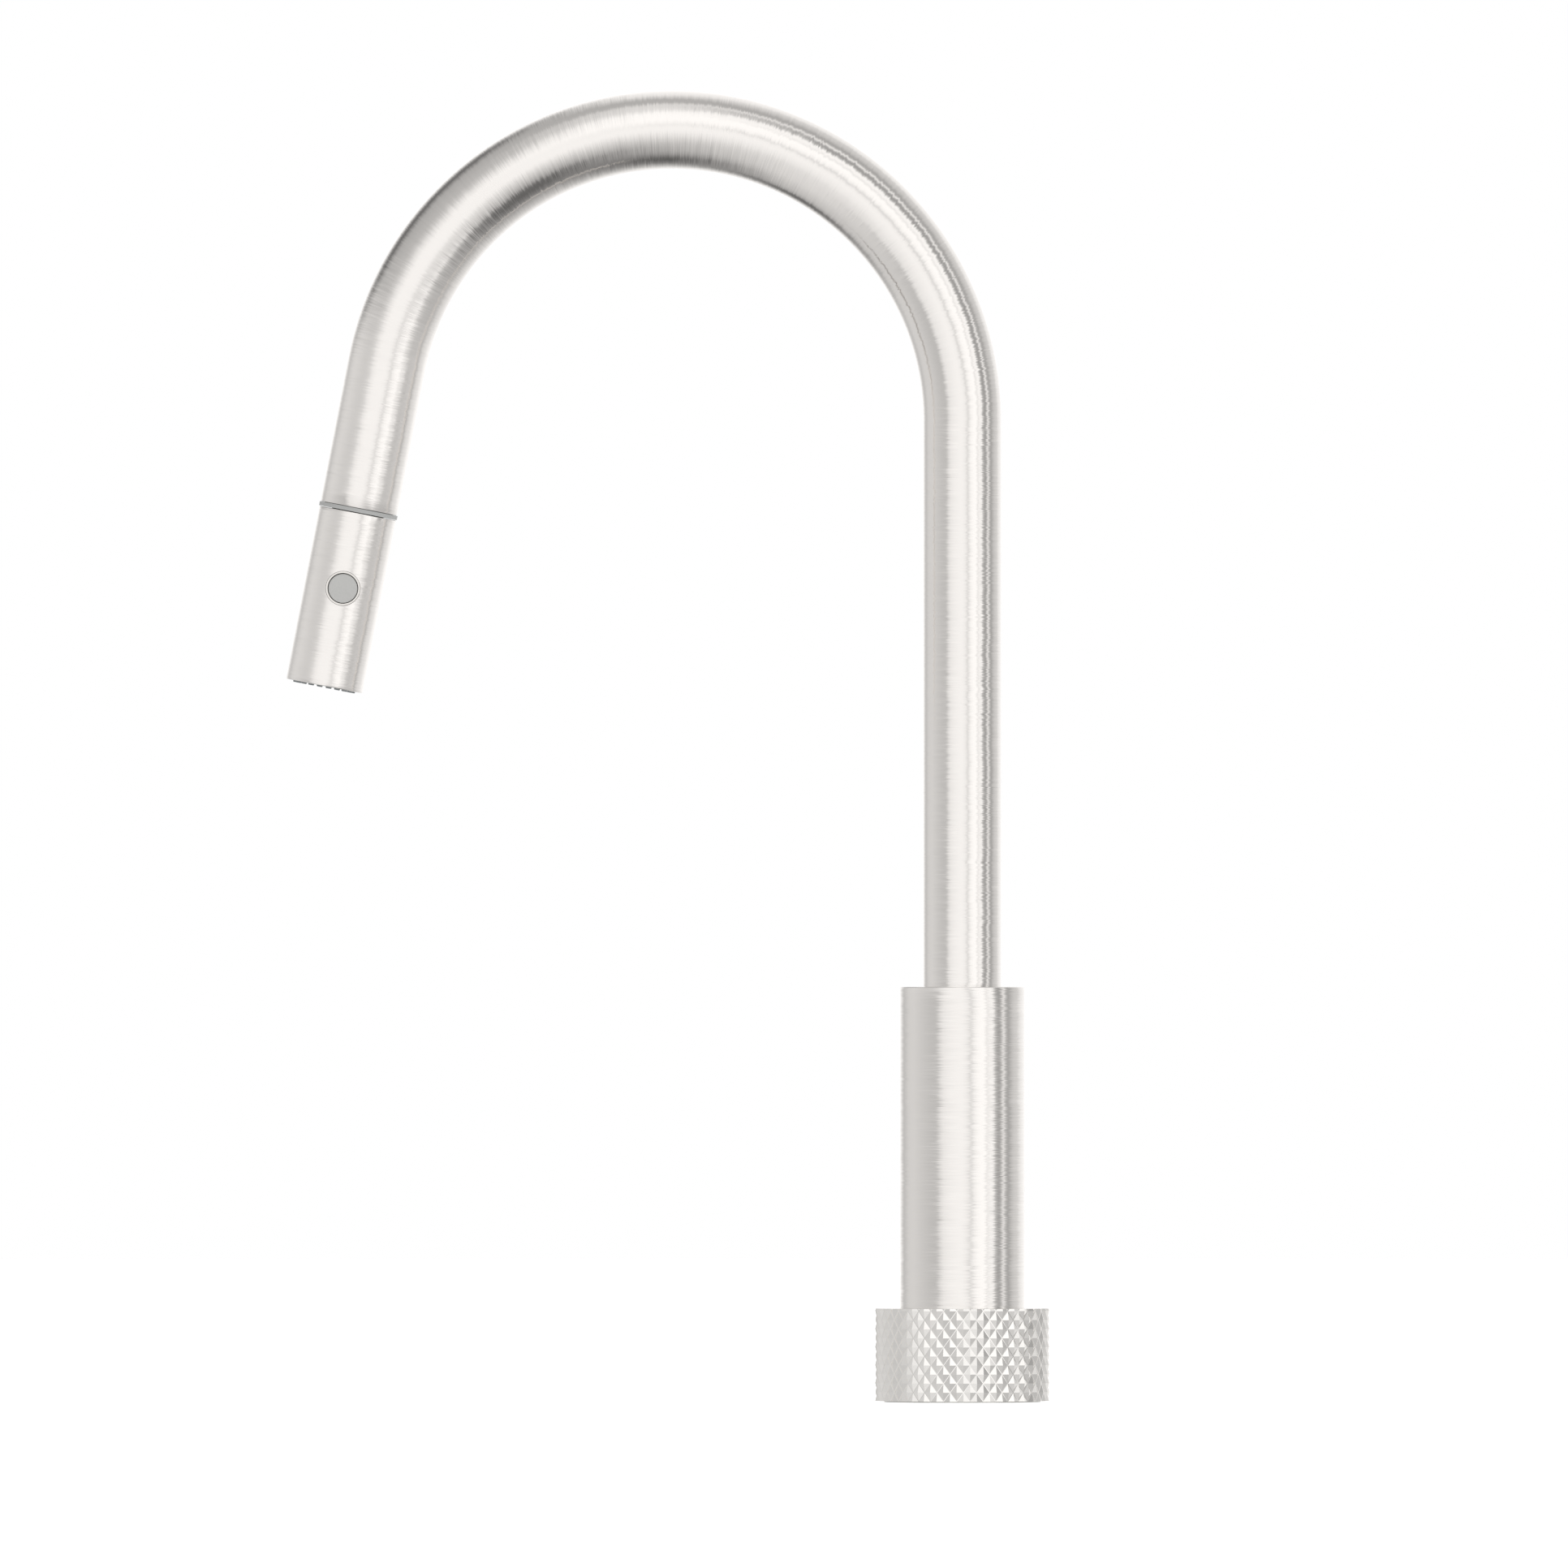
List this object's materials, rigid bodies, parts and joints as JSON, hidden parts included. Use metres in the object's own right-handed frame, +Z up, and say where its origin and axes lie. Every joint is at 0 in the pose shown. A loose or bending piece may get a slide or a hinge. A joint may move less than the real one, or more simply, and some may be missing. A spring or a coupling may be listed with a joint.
{
  "type": "pull down kitchen faucet",
  "caption": "Single-hole gooseneck kitchen faucet with a docked pull-down spray head, a push button for spray or stream, and a knurled control ring at the base.",
  "frame": {"origin": "on the body's axis at the deck's top surface, in the middle of the deck hole", "axes": "+Z up along the body and riser, away from the deck; the spout reaches towards -X at rest; the spray button faces -Y"},
  "size_m": [0.245, 0.056, 0.5082],
  "materials": {
    "brushed_nickel": "fine brushing round the tube, satin",
    "knurled_nickel": "cut diamond knurl, satin with bright cut faces",
    "polished_trim": "polished",
    "plated_steel": "plain zinc plate",
    "brass": "machined",
    "grey_plastic": "moulded, satin",
    "dark_plastic": "glass-filled, matt",
    "nylon": "natural",
    "rubber": "matt",
    "silicone": "soft, matt",
    "ceramic": "lapped alumina",
    "hose_braid": "braided nylon sleeve"
  },
  "bodies": {
    "root": {"mounting_foot": "brass", "deck_gasket": "rubber", "threaded_shank": "brass", "rubber_washer": "rubber", "steel_washer": "plated_steel", "fixing_nut": "brass", "cold_inlet_pipe": "plated_steel", "hot_inlet_pipe": "plated_steel", "mixed_outlet_pipe": "plated_steel", "cold_port_seal": "rubber", "hot_port_seal": "rubber", "mixed_port_seal": "rubber", "body_sleeve": "brushed_nickel", "spout_bearing": "brass", "spout_stop_screw": "plated_steel", "spout_thrust_washer": "nylon", "fixed_ceramic_disc": "ceramic", "valve_clamp_nut": "brass", "hose_guide_tube": "nylon"},
    "control": {"control_ring": "knurled_nickel", "lower_ring_band": "nylon", "upper_ring_band": "nylon", "drive_pin_back": "plated_steel", "drive_pin_front": "plated_steel", "disc_driver": "dark_plastic", "turning_ceramic_disc": "ceramic", "driver_thrust_ring": "nylon"},
    "spout": {"spout_tube": "brushed_nickel", "spout_connector": "brass", "upper_slip_ring": "nylon", "lower_slip_ring": "nylon", "spout_seal": "rubber", "dock_bush": "grey_plastic", "spout_hose": "hose_braid", "hose_tail_fitting": "brass"},
    "hose_end": {"hose_lead": "hose_braid", "hose_ferrule": "plated_steel", "swivel_seal": "rubber"},
    "spray_head": {"head_shell": "brushed_nickel", "head_neck": "dark_plastic", "dock_seal": "rubber", "check_valve": "nylon", "diverter_housing": "dark_plastic", "button_spring": "plated_steel", "button_bezel": "polished_trim", "spray_face": "grey_plastic", "nozzle_mat": "silicone", "spray_chamber": "dark_plastic", "aerator": "dark_plastic"},
    "button": {"spray_button": "grey_plastic", "diverter_spool": "nylon"}
  },
  "joints": [
    {"name": "spout_swivel", "type": "hinge", "parent": "root", "child": "spout", "pos_m": [0, 0, 0.11], "axis": [0, 0, 1], "range_deg": [-60, 60]},
    {"name": "control_turn", "type": "hinge", "parent": "root", "child": "control", "pos_m": [0, 0, 0.0152], "axis": [0, 0, 1], "range_deg": [0, 100]},
    {"name": "head_pull", "type": "slide", "parent": "spout", "child": "hose_end", "axis": [-0.1908, 0, -0.9816], "range_m": [0, 0.22], "stiffness_N_per_m": 10, "springref_m": -0.5},
    {"name": "head_spin", "type": "hinge", "parent": "hose_end", "child": "spray_head", "pos_m": [-0.19614, 0, 0.27389], "axis": [-0.1908, 0, -0.9816], "continuous": true},
    {"name": "button_press", "type": "slide", "parent": "spray_head", "child": "button", "axis": [0, 1, 0], "range_m": [0, 0.0015], "stiffness_N_per_m": 400, "springref_m": -0.005, "deforming": ["button_spring"]}
  ]
}
